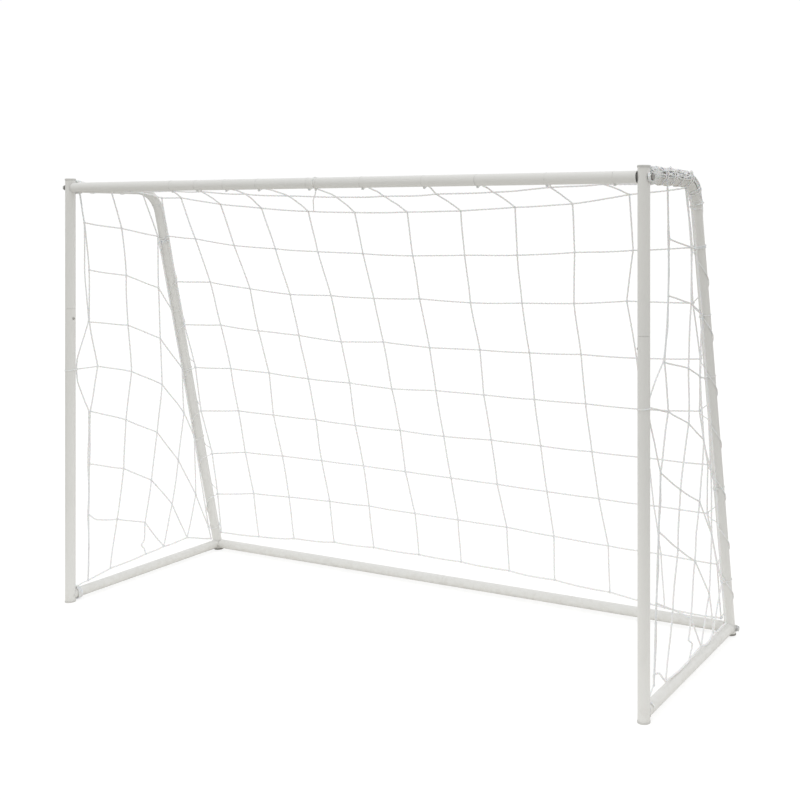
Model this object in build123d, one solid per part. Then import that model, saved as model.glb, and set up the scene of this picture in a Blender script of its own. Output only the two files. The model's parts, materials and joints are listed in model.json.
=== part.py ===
from build123d import *
import math
import os

# ---------------------------------------------------------------------------
# Small football goal: two side frames of bent steel tube, a two-piece crossbar
# and a two-piece rear ground bar bolted between them, and a knotted net.
# Millimetres. +X runs along the goal line, +Y from the mouth to the back,
# +Z up. The pieces are drawn with Y = 0 on the goal line; save() then moves
# them so that the origin is under the middle of the footprint.
# Paired pieces are drawn for the right-hand side (+X) and mirrored to the left.
# ---------------------------------------------------------------------------

os.makedirs("parts", exist_ok=True)

# frame
post_span = 1792.0          # post centre to post centre
post_x = post_span / 2
frame_height = 1220.0       # ground to the top of the post caps
tube_r = 14.0               # outside radius of every tube
wall = 1.2
bore_r = tube_r - wall
lean = 0.23                 # rear legs come forward this much per unit of height
lean_angle = math.atan(lean)
leg_foot_y = 592.0          # rear leg axis at ground level
bend_r = 90.0               # centre-line radius between arm and leg
bar_z = 1194.0              # crossbar and arm axes
ground_z = 20.0             # ground bar axes
joint_gap = 0.05            # between a coped tube end and the tube it meets
end_trim = 11.8             # arm and side bar ends are cut flat this far from the upright's axis
trim_cube = 60.0            # side of the block that cuts them
arm_start_y = 2.0           # the arm is drawn from here, then coped
leg_overrun = 20.0          # the leg is drawn this far below ground, then cut level
side_bar_mid_y = 300.0
side_bar_draw_len = 590.0   # before coping

# plastic ends
foot_flange_t = 5.0
foot_flange_r = 14.8
foot_chamfer = 0.8
foot_plug_top = 30.0
plastic_gap = 0.02          # between a flange and the tube end
cap_base_z = 1214.5
cap_r = 15.0
cap_fillet = 2.2
cap_plug_depth = 8.0
plug_r = bore_r - 0.1
leg_plug_z = (3.0, 10.0)    # bottom and top of the plug in the leaning leg

# swaged joints
swage_r = bore_r - 0.1
swage_bore_r = swage_r - wall
swage_len = 60.0
# offsets from the seam: outer step start and end, inner step end and start
post_steps = (1.6, 0.2, 0.9, 2.4)
bar_steps = (0.0, 1.3, -0.5, -2.3)
plain_half_start = 1.4      # where the plain half bars begin

# snap buttons in the posts; (x, z) points are x from the post axis, z height
seam_z = 845.0
button_z = 817.0
button_r = 3.9
button_base_x = 9.9
button_len = 6.3
button_fillet = 2.4
button_hole_r = 4.4
leaf_w = 8.0
leaf_t = 0.8
leaf_pivot = (8.3, 855.0)
leaf_low = (10.15, 811.5)
spring_points = [
    (leaf_pivot[0], leaf_pivot[1] + 0.6), (7.8, 862.0), (5.0, 866.5), (0, 868.5),
    (-5.0, 866.5), (-8.8, 860.0), (-leaf_low[0], 850.0), (-leaf_low[0], leaf_low[1]),
]

# bolted corners
bolt_r = 4.0
bolt_hole_r = 4.3
bolt_thread_bore_r = 4.05
bolt_reach = 48.0           # under the head
bolt_overlap = 1.0          # shank inside the head
head_af = 13.0
head_h = 5.3
head_chamfer = 0.8
washer_r = 8.0
washer_t = 1.6
stack_gap = 0.05            # between saddle, washer and bolt head
saddle_r = 8.5
saddle_t = 3.4
saddle_root = 4.0           # extra length, hollowed by the upright
saddle_x = post_x + tube_r + saddle_t
neck_r = 9.8
neck_len = 0.6
neck_stop = 6.0             # the neck is drawn to this far from the upright's axis
insert_len = 32.0
bar_end = post_x - tube_r - neck_len

# net
cord = 3.8                  # net
tie = 2.6                   # loops round the tubes
knot_r = 3.4
rope = 4.6                  # bottom edge of the back panel
top_edge_y = 18.0
top_edge_z = 1184.0
middle_row_y = 200.0
bend_row_inset = 7.0        # top panel stops this far in front of the leg axis line
bend_row_lift = 1.5
middle_tie_x = -8.0
middle_tie_start_y = 1.0
middle_tie_end = (-285.0, 318.0, 1131.0)
post_tie_z = {"left": 668.0, "right": 686.0}
post_tie_end_gap = 1.6      # between a post tie and its knot
arm_tie_y = (60.0, 210.0)
loop_gap = 0.15
loop_r = tube_r + loop_gap + tie / 2
loop_outer = tube_r + loop_gap + tie

# the cord loops round the posts reach furthest forward, the rear feet furthest back
origin_y = (leg_foot_y + foot_flange_r - loop_outer) / 2


# --- helpers ---------------------------------------------------------------

def leg_y(z):
    """Y of the rear leg axis at height z"""
    return leg_foot_y - lean * z


def fuse(pieces):
    """join the pieces one at a time"""
    joined = pieces[0]
    for piece in pieces[1:]:
        joined = joined + piece
    return joined


def rod(start, end, radius):
    start, end = Vector(*start), Vector(*end)
    span = end - start
    return Solid.make_cylinder(radius, span.length, Plane(origin=start, z_dir=span))


def ball(centre, radius):
    """sphere with its poles turned off the main axes"""
    return Pos(*centre) * (Rot(17, 31, 0) * Sphere(radius))


def standing_cylinder(radius, height):
    return Cylinder(radius, height, align=(Align.CENTER, Align.CENTER, Align.MIN))


def pipe(z0, z1):
    length = z1 - z0
    return Pos(0, 0, (z0 + z1) / 2) * (Cylinder(tube_r, length) - Cylinder(bore_r, length + 2))


def swaged_pipe(plain_end, tip, seam, steps):
    """pipe along Z, full size from plain_end to the seam and swaged from there to the tip"""
    outer_start, outer_end, inner_end, inner_start = (seam + step for step in steps)
    profile = Polygon(
        (bore_r, plain_end), (tube_r, plain_end), (tube_r, outer_start),
        (swage_r, outer_end), (swage_r, tip), (swage_bore_r, tip),
        (swage_bore_r, inner_end), (bore_r, inner_start), align=None)
    return revolve(Plane.XZ * profile, Axis.Z)


def along_x(shape):
    """turn a shape drawn along +Z so that it runs along +X"""
    return Rot(0, 90, 0) * shape


def x_cylinder(radius, x0, x1):
    return Pos((x0 + x1) / 2, 0, 0) * along_x(Cylinder(radius, x1 - x0))


def at_post(shape):
    return Pos(post_x, 0, 0) * shape


def mirrored(shape):
    return shape.mirror(Plane.YZ)


def strip(points, thick, width):
    """flat strip of constant width in Y following points in X-Z"""
    pieces = []
    for (x0, z0), (x1, z1) in zip(points[:-1], points[1:]):
        start, end = Vector(x0, 0, z0), Vector(x1, 0, z1)
        along = (end - start).normalized()
        offset = Vector(along.Z, 0, -along.X) * (thick / 2)
        corners = [start + offset, end + offset, end - offset, start - offset]
        face = Face(Wire.make_polygon(corners, close=True))
        length = Solid.extrude(face, Vector(0, width, 0))
        pieces.append(length.moved(Pos(0, -width / 2, 0)))
    for x, z in points[1:-1]:
        pieces.append(Pos(x, 0, z) * (Rot(90, 0, 0) * Cylinder(thick / 2, width)))
    return fuse(pieces)


def save(name, *shapes):
    moved = [Pos(0, -origin_y, 0) * solid for shape in shapes for solid in shape.solids()]
    out = moved[0] if len(moved) == 1 else Compound(children=moved)
    out.label = name
    export_step(out, f"parts/{name}.step")


# --- places and cutters ----------------------------------------------------

at_crossbar = Pos(0, 0, bar_z)
at_ground_bar = Pos(0, leg_y(ground_z), ground_z)
leg_plane = Plane(origin=(post_x, leg_foot_y, 0), x_dir=(1, 0, 0),
                  z_dir=(0, -math.sin(lean_angle), math.cos(lean_angle)))

# solid uprights, used to cope whatever meets them
leg_core = leg_plane * Pos(0, 0, 300) * Cylinder(tube_r + joint_gap, 900)
post_core = at_post(Pos(0, 0, 600) * Cylinder(tube_r + joint_gap, 1500))

button_drill = at_post(Pos(-tube_r, 0, button_z) * along_x(Cylinder(button_hole_r, 12)))
bolt_drill = at_post(along_x(Cylinder(bolt_hole_r, 60)))


# --- tubes -----------------------------------------------------------------

def make_post_lower():
    """plain tube with one hole for the snap button, on the inner side"""
    return at_post(pipe(foot_flange_t, seam_z)) - button_drill


def make_post_upper():
    """its lower end is swaged down to slide into the lower post"""
    tube = at_post(swaged_pipe(cap_base_z, seam_z - swage_len, seam_z, post_steps))
    return tube - button_drill - at_crossbar * bolt_drill


def make_rear_tube():
    """arm from the post, bend and leaning leg, one continuous tube"""
    turn = math.pi / 2 - lean_angle
    arm_end_y = leg_y(bar_z) - bend_r * math.tan(turn / 2)

    def on_bend(angle):
        return (post_x, arm_end_y + bend_r * math.sin(angle),
                bar_z - bend_r + bend_r * math.cos(angle))

    arm_start = (post_x, arm_start_y, bar_z)
    arm_end = (post_x, arm_end_y, bar_z)
    path = Wire([
        Edge.make_line(arm_start, arm_end),
        Edge.make_three_point_arc(arm_end, on_bend(turn / 2), on_bend(turn)),
        Edge.make_line(on_bend(turn), (post_x, leg_y(-leg_overrun), -leg_overrun)),
    ])
    ring = Plane(origin=arm_start, z_dir=(0, 1, 0)) * (Circle(tube_r) - Circle(bore_r))
    tube = sweep(ring, path=path)
    trim = Pos(post_x, end_trim - trim_cube / 2, bar_z) * Box(trim_cube, trim_cube, trim_cube)
    tube = tube - post_core - trim
    # cut the leg level on top of its foot
    tube = tube - Pos(post_x, leg_foot_y, foot_flange_t - 50) * Box(80, 120, 100)
    return tube - at_ground_bar * bolt_drill


def make_side_bar():
    """ground bar between post and leg, coped at both ends"""
    tube = Cylinder(tube_r, side_bar_draw_len) - Cylinder(bore_r, side_bar_draw_len + 10)
    bar = Pos(post_x, side_bar_mid_y, ground_z) * (Rot(90, 0, 0) * tube)
    bar = bar - post_core - leg_core
    trim_y = leg_y(ground_z) - end_trim + trim_cube / 2
    bar = bar - Pos(post_x, trim_y, ground_z) * Box(trim_cube, trim_cube, trim_cube)
    # leave out the slivers beyond the uprights
    return [s for s in bar.solids() if 100 < s.center().Y < 500][0]


# --- bolted corners, drawn on the X axis -----------------------------------

def make_insert():
    """plug in the bar, narrower neck against the upright, bored for the bolt"""
    neck = x_cylinder(neck_r, bar_end, post_x - neck_stop)
    plug = x_cylinder(plug_r, bar_end - insert_len, bar_end)
    bore = x_cylinder(bolt_thread_bore_r, bar_end - insert_len - 7, bar_end + 21)
    return neck + plug - bore


def make_saddle():
    """outside the upright, under the washer"""
    body = x_cylinder(saddle_r, saddle_x - saddle_t - saddle_root, saddle_x)
    return body - at_post(along_x(Cylinder(bolt_hole_r, 80)))


def make_washer():
    ring = Cylinder(washer_r, washer_t) - Cylinder(bolt_hole_r, 9)
    return Pos(saddle_x + stack_gap + washer_t / 2, 0, 0) * along_x(ring)


def make_bolt():
    head = extrude(RegularPolygon(head_af / 2, 6, major_radius=False), head_h)
    head = chamfer(head.edges().group_by(Axis.Z)[-1], head_chamfer)
    shank = Cylinder(bolt_r, bolt_reach + bolt_overlap)
    bolt = head + Pos(0, 0, (bolt_overlap - bolt_reach) / 2) * shank
    return Pos(saddle_x + washer_t + 2 * stack_gap, 0, 0) * along_x(bolt)


def corner_pieces(corner, place, upright):
    """the four pieces of a bolted corner; insert and saddle are hollowed by the upright"""
    insert = place * make_insert() - upright
    return {
        corner + "_insert": insert.solids().sort_by(SortBy.VOLUME)[-1],
        corner + "_saddle": place * make_saddle() - upright,
        corner + "_washer": place * make_washer(),
        corner + "_bolt": place * make_bolt(),
    }


# --- plastic ends ----------------------------------------------------------

def make_post_cap():
    cap = standing_cylinder(cap_r, frame_height - cap_base_z)
    cap = fillet(cap.edges().group_by(Axis.Z)[-1], cap_fillet)
    cap = cap + Pos(0, 0, -cap_plug_depth) * standing_cylinder(plug_r, cap_plug_depth + 1)
    return Pos(post_x, 0, cap_base_z + plastic_gap) * cap


def make_foot_flange():
    flange = standing_cylinder(foot_flange_r, foot_flange_t - plastic_gap)
    return chamfer(flange.edges().group_by(Axis.Z)[-1], foot_chamfer)


def make_post_foot():
    return at_post(make_foot_flange() + standing_cylinder(plug_r, foot_plug_top))


def make_leg_foot():
    """level flange with a plug that leans with the leg"""
    low, high = leg_plug_z
    slab = Pos(post_x, leg_foot_y, (low + high) / 2) * Box(60, 60, high - low)
    plug = (leg_plane * Cylinder(plug_r, 40)) & slab
    return Pos(post_x, leg_foot_y, 0) * make_foot_flange() + plug


# --- snap button: drawn pointing to +X, mirrored to face inward (-X) on the right post ---

def make_snap_button():
    """domed pin on the spring's moving leaf"""
    pin = along_x(standing_cylinder(button_r, button_len))
    pin = fillet(pin.edges().group_by(Axis.X)[-1], button_fillet)
    leaf = strip([leaf_pivot, leaf_low], leaf_t, leaf_w)
    return at_post(mirrored(leaf + Pos(button_base_x, 0, button_z) * pin))


def make_snap_spring():
    """the spring's fold and its fixed leaf, which lies on the far wall"""
    return at_post(mirrored(strip(spring_points, leaf_t, leaf_w)))


pairs = {
    "post_upper": make_post_upper(),
    "post_lower": make_post_lower(),
    "post_cap": make_post_cap(),
    "post_foot": make_post_foot(),
    "rear_tube": make_rear_tube(),
    "leg_foot": make_leg_foot(),
    "side_bar": make_side_bar(),
    "snap_button": make_snap_button(),
    "snap_spring": make_snap_spring(),
    **corner_pieces("crossbar", at_crossbar, post_core),
    **corner_pieces("ground", at_ground_bar, leg_core),
}
for name, shape in pairs.items():
    save(name + "_right", shape)
    save(name + "_left", mirrored(shape))

# crossbar and rear ground bar: right halves are plain, left halves carry the swage
half_plain = along_x(pipe(plain_half_start, bar_end))
half_swaged = along_x(swaged_pipe(-bar_end, swage_len, 0.0, bar_steps))
for name, place in (("crossbar", at_crossbar), ("ground_bar", at_ground_bar)):
    save(name + "_right", place * half_plain)
    save(name + "_left", place * half_swaged)

# --- net tables ------------------------------------------------------------
# back panel: columns of knots (x, z) from the bend row down to the bottom rope
back_columns = [
    [(-875, 1170), (-875, 1050), (-875, 905), (-873, 766), (-858, 626), (-867, 480),
     (-850, 337), (-858, 197), (-872, 62)],
    [(-794, 1170), (-763, 1043), (-732, 907), (-719, 771), (-708, 631), (-705, 493),
     (-706, 355), (-700, 216), (-709, 67)],
    [(-638, 1149), (-610, 1023), (-575, 890), (-568, 759), (-553, 626), (-563, 490),
     (-553, 357), (-553, 221), (-561, 80)],
    [(-479, 1136), (-450, 1015), (-421, 877), (-412, 752), (-401, 617), (-396, 488),
     (-398, 357), (-391, 225), (-399, 89)],
    [(-305, 1126), (-292, 1008), (-267, 878), (-255, 739), (-246, 614), (-248, 482),
     (-240, 355), (-241, 227), (-246, 92)],
    [(-139, 1122), (-130, 1004), (-114, 874), (-102, 746), (-95, 606), (-86, 480),
     (-87, 353), (-73, 223), (-80, 91)],
    [(42, 1123), (41, 1000), (45, 878), (57, 737), (59, 611), (66, 475),
     (72, 349), (78, 221), (69, 89)],
    [(217, 1125), (212, 1004), (212, 872), (224, 739), (218, 609), (225, 478),
     (227, 347), (242, 219), (232, 84)],
    [(387, 1134), (377, 1006), (375, 876), (381, 739), (380, 608), (383, 475),
     (387, 343), (393, 211), (380, 78)],
    [(558, 1142), (550, 1016), (532, 880), (538, 743), (536, 607), (540, 473),
     (546, 340), (561, 205), (551, 67)],
    [(720, 1164), (716, 1023), (685, 891), (698, 741), (700, 604), (705, 471),
     (708, 338), (716, 201), (712, 46)],
    [(875, 1179), (874, 1032), (866, 892), (874, 749), (860, 611), (871, 469),
     (858, 335), (874, 196), (873, 43)],
]

# side panels: knots (y, z), and the runs of knots that each cord joins
left_nodes = {
    "a0": (24, 1175), "a1": (49, 1093), "a2": (66, 954), "a3": (66, 801), "a4": (97, 668),
    "a5": (69, 539), "a6": (67, 384), "a7": (64, 236), "a8": (62, 44),
    "b0": (150, 1175), "b1": (185, 1075), "b2": (203, 932), "b3": (209, 780), "b4": (223, 637),
    "b5": (201, 493), "b6": (193, 346), "b7": (168, 198), "b8": (142, 57),
    "c0": (255, 1172), "c1": (327, 1050), "c2": (329, 888), "c3": (337, 728), "c4": (345, 582),
    "c5": (324, 435), "c6": (301, 289), "c7": (276, 163), "c8": (278, 65),
    "g0": (292, 1153), "g1": (314, 1104),
    "d2": (383, 817), "d3": (426, 624), "d4": (436, 478), "d5": (412, 331), "d6": (386, 195),
    "d8": (351, 69), "e4": (481, 392), "e5": (488, 204), "e8": (449, 73),
    "f5": (545, 84), "f8": (556, 43),
}
left_cords = [
    "a0 a1 a2 a3 a4 a5 a6 a7 a8", "b0 b1 b2 b3 b4 b5 b6 b7 b8", "c1 c2 c3 c4 c5 c6 c7 c8",
    "d3 d4 d5 d6 d8", "e4 e5 e8", "a0 b0 c0 g0 g1 c1 d2 d3 e4 f5 f8", "a1 b1 c1",
    "a2 b2 c2 d2", "a3 b3 c3 d3", "a4 b4 c4 d4 e4", "a5 b5 c5 d5 e5 f5", "a6 b6 c6 d6 e8",
    "a7 b7 c7 d8", "a8 b8 c8 d8 e8 f8",
]
right_nodes = {
    "a0": (128, 1175), "a1": (150, 1056), "a2": (146, 925), "a3": (123, 774), "a4": (146, 658),
    "a5": (99, 526), "a6": (87, 395), "a7": (72, 238), "a8": (57, 60),
    "b0": (255, 1172), "b1": (300, 1033), "b2": (295, 898), "b3": (276, 743), "b4": (276, 610),
    "b5": (224, 462), "b6": (208, 326), "b7": (173, 193), "b8": (134, 50),
    "g0": (292, 1153), "c1": (332, 1030), "c2": (373, 862), "c3": (358, 712), "c4": (385, 552),
    "c5": (354, 405), "c6": (321, 268), "c7": (294, 136), "c8": (270, 58),
    "d3": (407, 705), "d4": (436, 470), "d5": (444, 302), "d6": (424, 157), "d8": (352, 70),
    "e4": (476, 410), "e5": (523, 155), "e8": (462, 76), "f8": (556, 43),
}
right_cords = [
    "a0 a1 a2 a3 a4 a5 a6 a7 a8", "b0 b1 b2 b3 b4 b5 b6 b7 b8", "c2 c3 c4 c5 c6 c7 c8",
    "d3 d4 d5 d6 d8", "e5 e8", "a0 b0 g0 c1 c2 d3 e4 e5 f8", "a1 b1 c1", "a2 b2 c2",
    "a3 b3 c3 d3", "a4 b4 c4 d4 e4", "a5 b5 c5 d5 e5", "a6 b6 c6 d6 e8", "a7 b7 c7 d8",
    "a8 b8 c8 d8 e8 f8",
]

# top panel: x of the front row's knots, then (x, z) of the middle row's
front_row_x = [-862, -500, -410, -308, -195, -30, 138, 320, 470, 655, 825, 862]
middle_row = [
    (-875, 1178), (-705, 1184), (-590, 1184), (-422, 1175), (-267, 1168), (-98, 1163),
    (60, 1164), (225, 1168), (397, 1171), (561, 1180), (704, 1184), (875, 1180),
]


# --- net panels ------------------------------------------------------------

def links(points):
    """neighbouring pairs along a run of points"""
    return list(zip(points[:-1], points[1:]))


def cord_face(start, end, width):
    (x0, y0), (x1, y1) = start, end
    length = math.hypot(x1 - x0, y1 - y0)
    angle = math.degrees(math.atan2(y1 - y0, x1 - x0))
    return Pos((x0 + x1) / 2, (y0 + y1) / 2) * (Rot(0, 0, angle) * Rectangle(length, width))


def mesh_sheet(knots, cords, plane, ropes=()):
    """flat net, one cord thick, centred on the plane"""
    faces = [Pos(*knot) * Circle(knot_r) for knot in knots]
    faces += [cord_face(start, end, cord) for start, end in cords]
    faces += [cord_face(start, end, rope) for start, end in ropes]
    return extrude(plane * (faces[0] + faces[1:]), amount=cord / 2, both=True)


def make_net_back():
    """net in the plane of the leaning legs"""
    slope = math.hypot(1, lean)
    plane = Plane(origin=(0, leg_foot_y, 0), x_dir=(1, 0, 0),
                  z_dir=leg_plane.x_dir.cross(leg_plane.z_dir))
    columns = [[(x, z * slope) for x, z in column] for column in back_columns]
    rows = list(zip(*columns))
    cords = [link for column in columns for link in links(column)]
    # the bottom row is rope instead of cord
    for left, right in links(columns):
        cords += list(zip(left, right))[:-1]
    knots = [knot for column in columns for knot in column]
    return mesh_sheet(knots, cords, plane, links(rows[-1]))


def make_net_side(x, nodes, runs):
    plane = Plane(origin=(x, 0, 0), x_dir=(0, 1, 0), z_dir=(1, 0, 0))
    cords = [link for run in runs for link in links([nodes[key] for key in run.split()])]
    return mesh_sheet(list(nodes.values()), cords, plane)


def make_net_top():
    """rows behind the crossbar, in the middle, and just short of the bend row"""
    rows = [
        [(x, top_edge_y, top_edge_z) for x in front_row_x],
        [(x, middle_row_y, z) for x, z in middle_row],
        [(x, leg_y(z) - bend_row_inset, z + bend_row_lift)
         for x, z in (column[0] for column in back_columns)],
    ]
    cords = links(rows[0]) + links(rows[1])
    for front, back in links(rows):
        cords += zip(front, back)
    knots = [ball(knot, knot_r) for row in rows for knot in row]
    return fuse(knots + [rod(start, end, cord / 2) for start, end in cords])


save("net_back", make_net_back())
save("net_left", make_net_side(-post_x, left_nodes, left_cords))
save("net_right", make_net_side(post_x, right_nodes, right_cords))
save("net_top", make_net_top())


# --- ties: cord loops round the tubes --------------------------------------

def loop():
    return Torus(loop_r, tie / 2)


def make_crossbar_ties():
    ties = [Pos(x, 0, bar_z) * along_x(loop()) for x in front_row_x[1:-1]]
    # a tie beside the crossbar's joint whose tail runs back and down
    tail = rod((middle_tie_x, middle_tie_start_y, bar_z - loop_r), middle_tie_end, tie / 2)
    ties.append(Pos(middle_tie_x, 0, bar_z) * along_x(loop()) + tail)
    return ties


def make_rear_ties(x, column):
    """loops down the leg at the knots of its column, then along the arm"""
    ties = []
    for _, z in column[1:]:
        plane = Plane(origin=(x, leg_y(z), z), x_dir=(1, 0, 0), z_dir=leg_plane.z_dir)
        ties.append(plane * loop())
    for y in arm_tie_y:
        ties.append(Pos(x, y, bar_z) * (Rot(90, 0, 0) * loop()))
    return ties


def make_post_tie(x, loop_z, knot):
    """loop round the post with a tail towards a knot (y, z) of the side panel"""
    y, z = knot
    tail_end = (x, y - knot_r - post_tie_end_gap, z)
    return Pos(x, 0, loop_z) * loop() + rod((x, loop_r, loop_z), tail_end, tie / 2)


save("ties_crossbar", *make_crossbar_ties())
for side, x, column, nodes in (("left", -post_x, back_columns[0], left_nodes),
                               ("right", post_x, back_columns[-1], right_nodes)):
    save("ties_rear_" + side, *make_rear_ties(x, column))
    save("tie_post_" + side, make_post_tie(x, post_tie_z[side], nodes["a4"]))
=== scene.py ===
import json
import math
import random

import bpy
import numpy as np
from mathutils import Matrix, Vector

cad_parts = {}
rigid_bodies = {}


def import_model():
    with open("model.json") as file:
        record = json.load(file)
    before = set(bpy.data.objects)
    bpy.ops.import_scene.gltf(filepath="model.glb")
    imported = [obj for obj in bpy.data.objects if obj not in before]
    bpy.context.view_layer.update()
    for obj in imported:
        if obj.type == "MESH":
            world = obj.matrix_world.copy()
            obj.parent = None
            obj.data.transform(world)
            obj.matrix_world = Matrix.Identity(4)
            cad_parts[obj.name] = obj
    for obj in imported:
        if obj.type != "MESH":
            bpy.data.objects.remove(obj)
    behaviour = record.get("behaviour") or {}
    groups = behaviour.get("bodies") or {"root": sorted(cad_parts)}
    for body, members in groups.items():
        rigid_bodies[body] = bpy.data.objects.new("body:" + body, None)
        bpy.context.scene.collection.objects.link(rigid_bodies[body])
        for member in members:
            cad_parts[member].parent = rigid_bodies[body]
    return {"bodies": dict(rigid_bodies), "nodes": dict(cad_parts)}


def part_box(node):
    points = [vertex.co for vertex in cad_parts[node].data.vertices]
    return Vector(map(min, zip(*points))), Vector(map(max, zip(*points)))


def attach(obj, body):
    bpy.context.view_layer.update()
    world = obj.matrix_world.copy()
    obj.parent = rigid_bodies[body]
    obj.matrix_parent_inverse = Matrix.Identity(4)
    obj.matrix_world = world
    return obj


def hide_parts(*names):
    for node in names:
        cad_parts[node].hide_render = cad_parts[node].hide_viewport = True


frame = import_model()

bpy.context.view_layer.update()

NODES = frame["nodes"]
ROOT = "frame" if "frame" in frame["bodies"] else sorted(frame["bodies"])[0]
MM = 0.001

# ---------------------------------------------------------------------------
# where the CAD puts things
# ---------------------------------------------------------------------------
lo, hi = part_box("post_lower_right")
TUBE = (hi.x - lo.x) / 2                      # tube radius
POST_X = (hi.x + lo.x) / 2
GOAL_Y = (hi.y + lo.y) / 2                    # the goal line
lo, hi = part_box("crossbar_right")
BAR_Z = (hi.z + lo.z) / 2
BAR_END = hi.x
lo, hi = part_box("ground_bar_right")
GROUND_Z = (hi.z + lo.z) / 2
GROUND_Y = (hi.y + lo.y) / 2
LEAN = 0.23
LEG_Y0 = GROUND_Y + LEAN * GROUND_Z            # leg axis where it meets the floor
SLOPE = math.hypot(1, LEAN)
LEG_UP = np.array([0.0, -LEAN / SLOPE, 1 / SLOPE])
LEG_BACK = np.array([0.0, 1 / SLOPE, LEAN / SLOPE])
TURN = math.radians(90) - math.atan(LEAN)
BEND_R = 0.090
ARM_END_Y = LEG_Y0 - LEAN * BAR_Z - BEND_R * math.tan(TURN / 2)
CORD = 2.35 * MM                               # net cord radius
TIE = 1.3 * MM                                 # lacing radius


def leg_y(z):
    return LEG_Y0 - LEAN * z


def G(x, y, z):
    """millimetres measured from the goal line to metres in the frame"""
    return np.array([x * MM, GOAL_Y + y * MM, z * MM])


# ---------------------------------------------------------------------------
# materials
# ---------------------------------------------------------------------------
class Nodes:
    def __init__(self, name):
        self.mat = bpy.data.materials.new(name)
        self.mat.use_nodes = True
        self.t = self.mat.node_tree
        self.t.nodes.clear()
        self.out = self.add("ShaderNodeOutputMaterial")
        self.bsdf = self.add("ShaderNodeBsdfPrincipled")
        self.link(self.bsdf, "BSDF", self.out, "Surface")
        self.coord = self.add("ShaderNodeTexCoord")
        self.geo = self.add("ShaderNodeNewGeometry")

    def add(self, kind, **values):
        n = self.t.nodes.new(kind)
        for k, v in values.items():
            setattr(n, k, v)
        return n

    def link(self, a, out, b, inp):
        self.t.links.new(a.outputs[out], b.inputs[inp])

    def noise(self, scale, detail=3.0, rough=0.5, coord=None, stretch=None, w=0.0):
        n = self.add("ShaderNodeTexNoise")
        n.inputs["Scale"].default_value = scale
        n.inputs["Detail"].default_value = detail
        n.inputs["Roughness"].default_value = rough
        src, name = coord or (self.coord, "Object")
        m = self.add("ShaderNodeMapping")
        m.inputs["Scale"].default_value = stretch or (1, 1, 1)
        m.inputs["Location"].default_value = (w, w * 0.7, w * 1.3)
        self.link(src, name, m, "Vector")
        self.link(m, "Vector", n, "Vector")
        return n

    def ramp(self, src, out, stops):
        r = self.add("ShaderNodeValToRGB")
        el = r.color_ramp.elements
        while len(el) < len(stops):
            el.new(0.5)
        for e, (p, c) in zip(el, stops):
            e.position = p
            e.color = (c, c, c, 1) if isinstance(c, (int, float)) else (*c, 1)
        self.link(src, out, r, "Fac")
        return r

    def mix(self, fac, a, b, blend="MIX"):
        m = self.add("ShaderNodeMix", data_type="RGBA", blend_type=blend)
        for value, idx in ((fac, 0), (a, 6), (b, 7)):
            if isinstance(value, tuple) and hasattr(value[0], "outputs"):
                self.t.links.new(value[0].outputs[value[1]], m.inputs[idx])
            elif isinstance(value, (int, float)):
                m.inputs[idx].default_value = value
            else:
                m.inputs[idx].default_value = (*value, 1)
        return (m, 2)

    def math(self, op, a, b=None):
        m = self.add("ShaderNodeMath", operation=op)
        for i, v in enumerate((a, b)):
            if v is None:
                continue
            if isinstance(v, tuple):
                self.t.links.new(v[0].outputs[v[1]], m.inputs[i])
            else:
                m.inputs[i].default_value = v
        return (m, 0)

    def bump(self, height, strength, distance, chain=None):
        b = self.add("ShaderNodeBump")
        b.inputs["Strength"].default_value = strength
        b.inputs["Distance"].default_value = distance
        self.t.links.new(height[0].outputs[height[1]], b.inputs["Height"])
        if chain is not None:
            self.link(chain, "Normal", b, "Normal")
        return b

    def done(self, color=None, rough=None, normal=None, **values):
        def put(v, socket):
            if v is None:
                return
            if isinstance(v, tuple) and hasattr(v[0], "outputs"):
                self.t.links.new(v[0].outputs[v[1]], self.bsdf.inputs[socket])
            elif isinstance(v, tuple):
                self.bsdf.inputs[socket].default_value = (*v, 1)
            else:
                self.bsdf.inputs[socket].default_value = v
        put(color, "Base Color")
        put(rough, "Roughness")
        if normal is not None:
            self.link(normal, "Normal", self.bsdf, "Normal")
        for k, v in values.items():
            put(v, k.replace("_", " "))
        return self.mat


def edge_mask(m, radius=0.0012):
    """near 1 along outside edges, where paint rubs through first"""
    b = m.add("ShaderNodeBevel", samples=4)
    b.inputs["Radius"].default_value = radius
    dot = m.add("ShaderNodeVectorMath", operation="DOT_PRODUCT")
    m.link(b, "Normal", dot, 0)
    m.link(m.geo, "Normal", dot, 1)
    return m.ramp(dot, "Value", [(0.80, 1.0), (0.985, 0.0)])


def ground_mask(m, height=0.05):
    """near 1 close to the floor, for the grime that splashes up"""
    sep = m.add("ShaderNodeSeparateXYZ")
    m.link(m.coord, "Object", sep, "Vector")
    n = m.noise(38, 4)
    z = m.math("ADD", (sep, 2), m.math("MULTIPLY", m.math("SUBTRACT", (n, 0), 0.5), 0.05))
    return m.ramp(z[0], z[1], [(0.0, 1.0), (height, 0.0)])


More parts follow.
